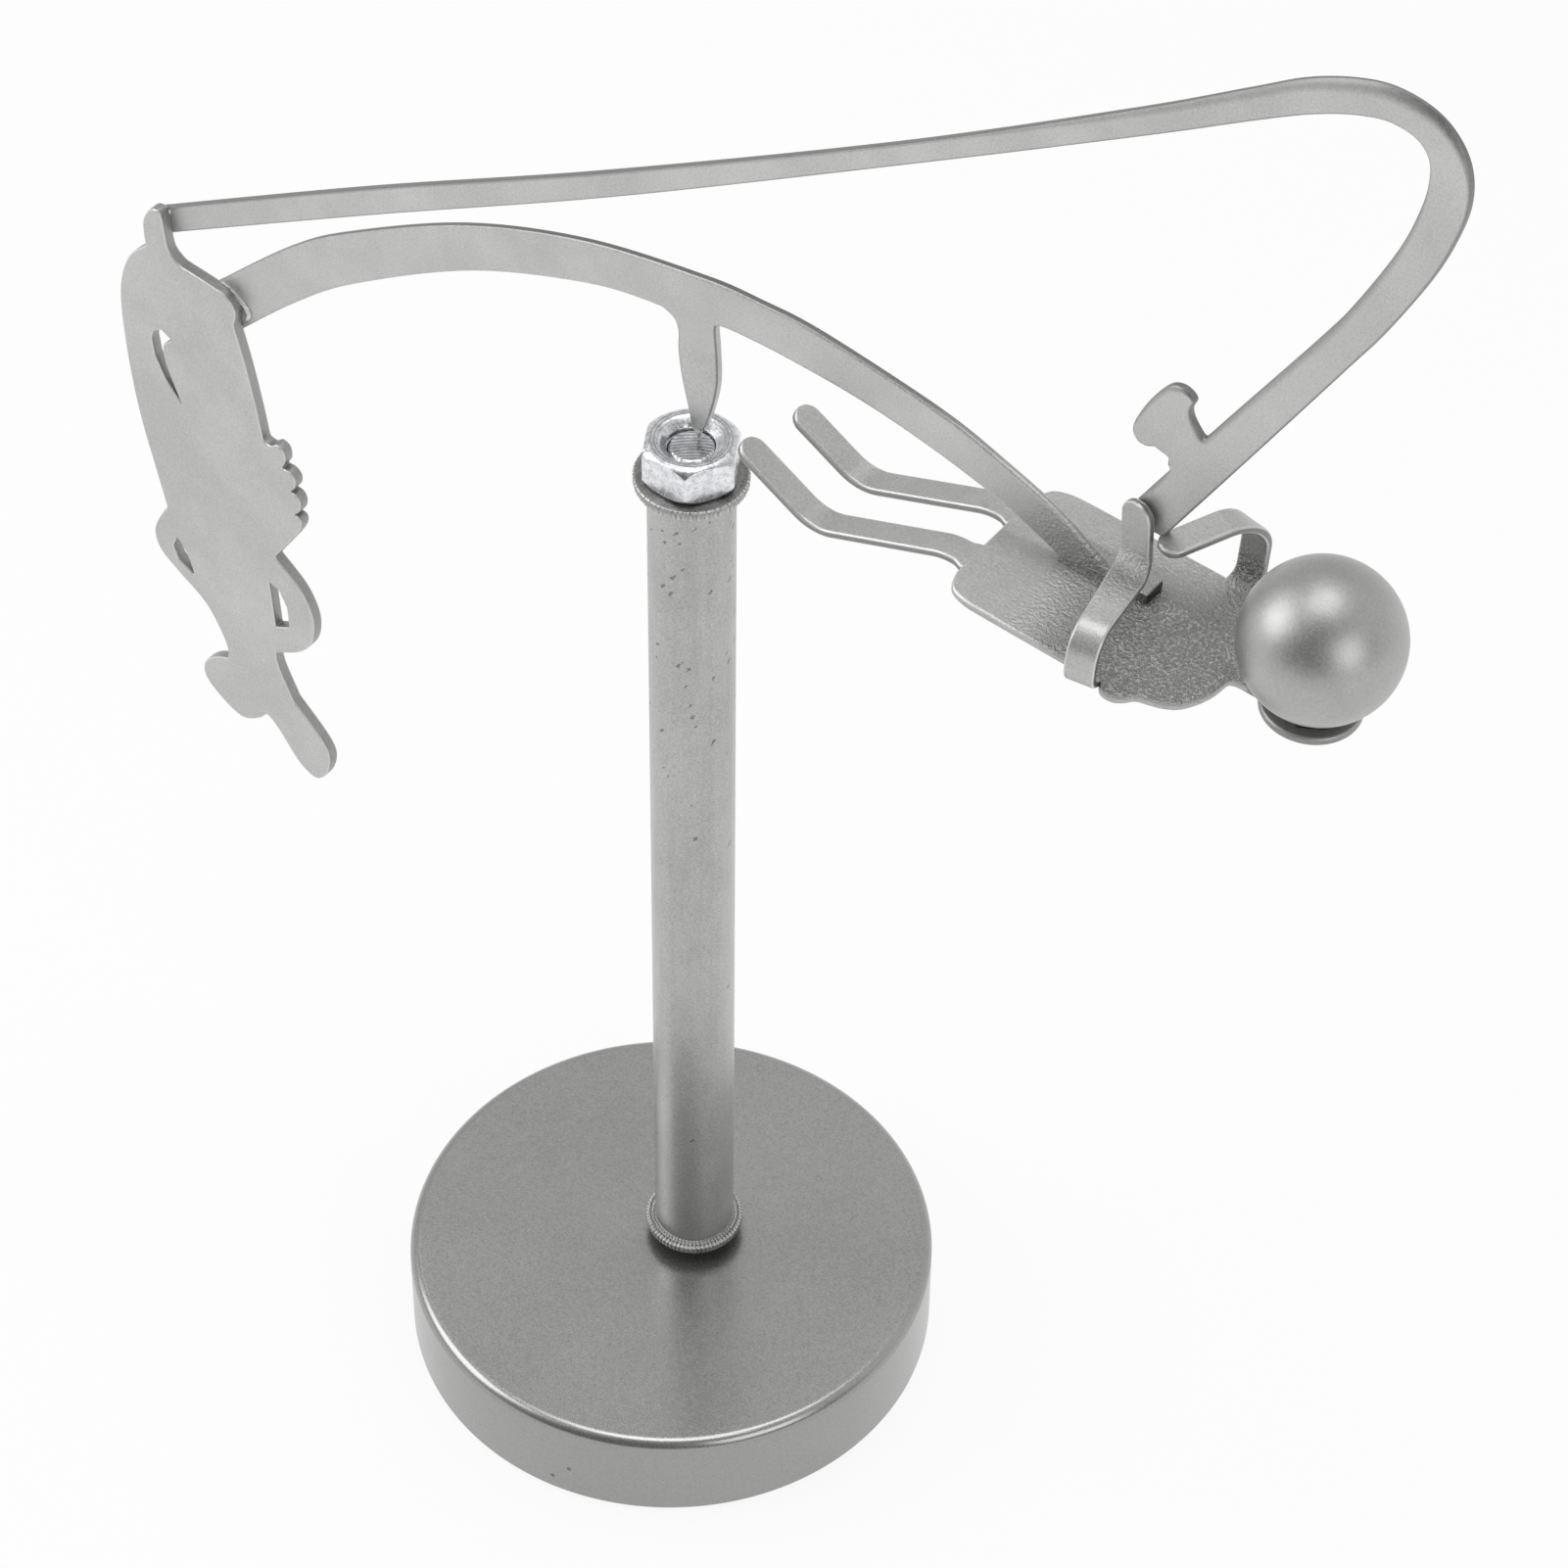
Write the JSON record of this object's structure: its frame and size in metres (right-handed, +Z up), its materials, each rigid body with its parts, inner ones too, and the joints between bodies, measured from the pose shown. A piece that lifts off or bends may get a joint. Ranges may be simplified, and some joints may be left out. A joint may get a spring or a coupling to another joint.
{
  "type": "counterweight balancing toy",
  "caption": "Sheet steel balancing toy: an angler with rod, line and fish hangs from a curved beam that rocks and turns on one ground point in the top nut of a weighted post stand.",
  "frame": {"origin": "middle of the round base, on the surface it stands on", "axes": "Z up along the post, X along the balance beam towards the angler, Y across the beam"},
  "size_m": [0.2227, 0.085, 0.3016],
  "materials": {
    "base_paint": "satin",
    "post_paint": "satin",
    "sheet_paint": "satin",
    "ball_paint": "satin",
    "zinc_steel": "satin",
    "washer_steel": "satin",
    "ground_steel": "satin",
    "collar_steel": "matte",
    "pad_rubber": "matte"
  },
  "bodies": {
    "stand": {"base_weight": "base_paint", "base_pad": "pad_rubber", "lower_washer": "washer_steel", "lower_nut": "zinc_steel", "threaded_rod": "zinc_steel", "foot_collar": "collar_steel", "foot_washer": "washer_steel", "post_tube": "post_paint", "cap_washer": "washer_steel", "pivot_nut": "zinc_steel"},
    "pivot": {"pivot_point": "ground_steel"},
    "balance": {"balance_beam": "sheet_paint", "fishing_rod": "sheet_paint", "fish": "sheet_paint", "angler": "sheet_paint", "head_ball": "ball_paint", "ball_weld": "ball_paint"}
  },
  "joints": [
    {"name": "spin", "type": "hinge", "parent": "stand", "child": "pivot", "pos_m": [0.0019, 0.0054, 0.19045], "axis": [0, 0, 1], "continuous": true},
    {"name": "rock", "type": "hinge", "parent": "pivot", "child": "balance", "pos_m": [0.0019, 0.0054, 0.19045], "axis": [0, 1, 0], "range_deg": [-18, 18]}
  ]
}
